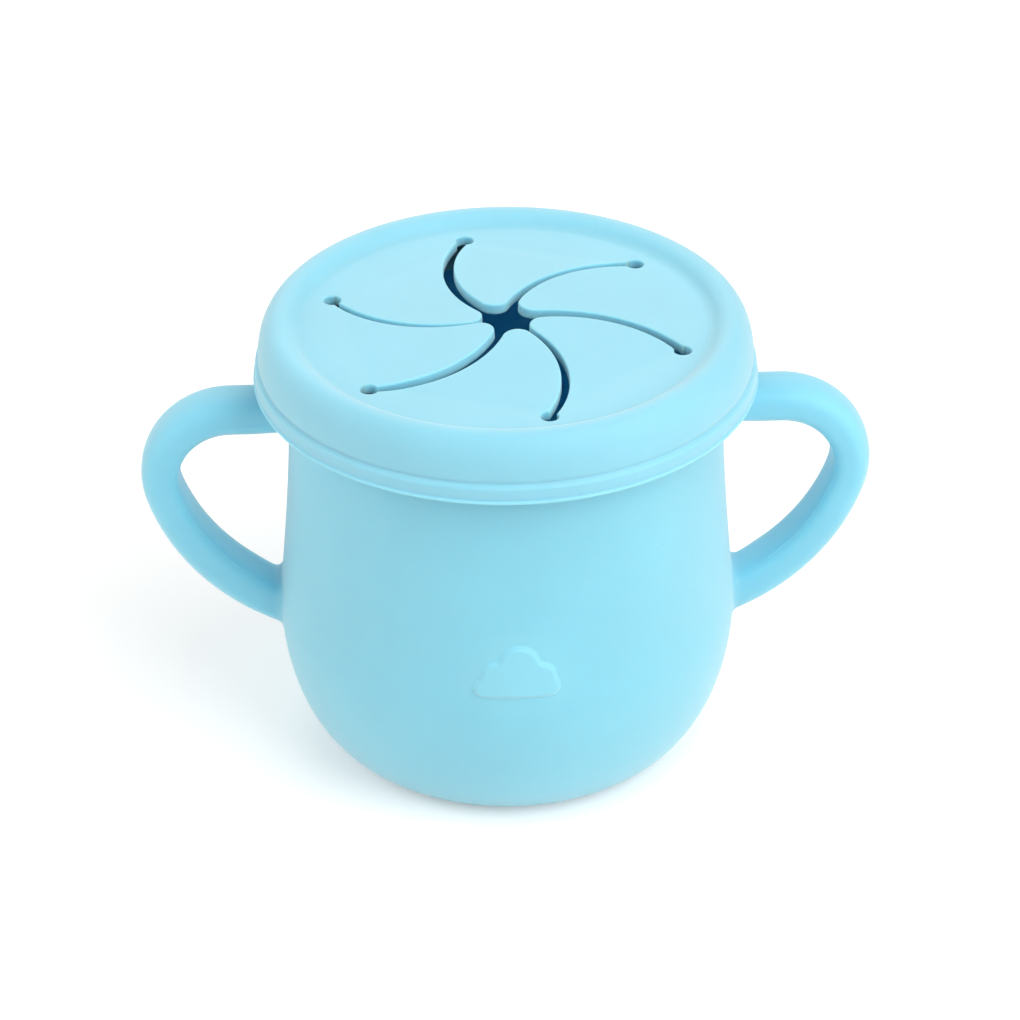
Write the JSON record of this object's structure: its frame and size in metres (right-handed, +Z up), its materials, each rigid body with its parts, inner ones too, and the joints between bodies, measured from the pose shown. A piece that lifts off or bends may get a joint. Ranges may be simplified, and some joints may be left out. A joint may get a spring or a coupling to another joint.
{
  "type": "toddler snack container",
  "caption": "Soft silicone snack cup for a toddler: round-bellied cup with a loop handle on each side, and a pull-off lid whose slit top bends open for a hand.",
  "frame": {"origin": "middle of the flat foot, on the surface the cup stands on", "axes": "+Z up, +X through the right handle, -Y the front with the raised ornament"},
  "size_m": [0.132, 0.09, 0.0856],
  "materials": {
    "cup_silicone": "matte",
    "lid_silicone": "matte"
  },
  "bodies": {
    "cup": {"cup": "cup_silicone", "handle_left": "cup_silicone", "handle_right": "cup_silicone"},
    "lid": {"lid": "lid_silicone"},
    "flap_1": {"flap_1": "lid_silicone"},
    "flap_2": {"flap_2": "lid_silicone"},
    "flap_3": {"flap_3": "lid_silicone"},
    "flap_4": {"flap_4": "lid_silicone"},
    "flap_5": {"flap_5": "lid_silicone"},
    "flap_6": {"flap_6": "lid_silicone"}
  },
  "joints": [
    {"name": "lid_pull_off", "type": "slide", "parent": "cup", "child": "lid", "axis": [0, 0, 1], "range_m": [0, 0.03]},
    {"name": "flap_1_bend", "type": "hinge", "parent": "lid", "child": "flap_1", "pos_m": [0.02754, 0.00535, 0.0825], "axis": [-0.1908, 0.9816, 0], "range_deg": [-65, 44], "stiffness_Nm_per_rad": 0.015},
    {"name": "flap_2_bend", "type": "hinge", "parent": "lid", "child": "flap_2", "pos_m": [0.00914, 0.02653, 0.0825], "axis": [-0.9455, 0.3256, 0], "range_deg": [-65, 44], "stiffness_Nm_per_rad": 0.015},
    {"name": "flap_3_bend", "type": "hinge", "parent": "lid", "child": "flap_3", "pos_m": [-0.01841, 0.02118, 0.0825], "axis": [-0.7547, -0.6561, 0], "range_deg": [-65, 44], "stiffness_Nm_per_rad": 0.015},
    {"name": "flap_4_bend", "type": "hinge", "parent": "lid", "child": "flap_4", "pos_m": [-0.02754, -0.00535, 0.0825], "axis": [0.1908, -0.9816, 0], "range_deg": [-65, 44], "stiffness_Nm_per_rad": 0.015},
    {"name": "flap_5_bend", "type": "hinge", "parent": "lid", "child": "flap_5", "pos_m": [-0.00914, -0.02653, 0.0825], "axis": [0.9455, -0.3256, 0], "range_deg": [-65, 44], "stiffness_Nm_per_rad": 0.015},
    {"name": "flap_6_bend", "type": "hinge", "parent": "lid", "child": "flap_6", "pos_m": [0.01841, -0.02118, 0.0825], "axis": [0.7547, 0.6561, 0], "range_deg": [-65, 44], "stiffness_Nm_per_rad": 0.015}
  ]
}
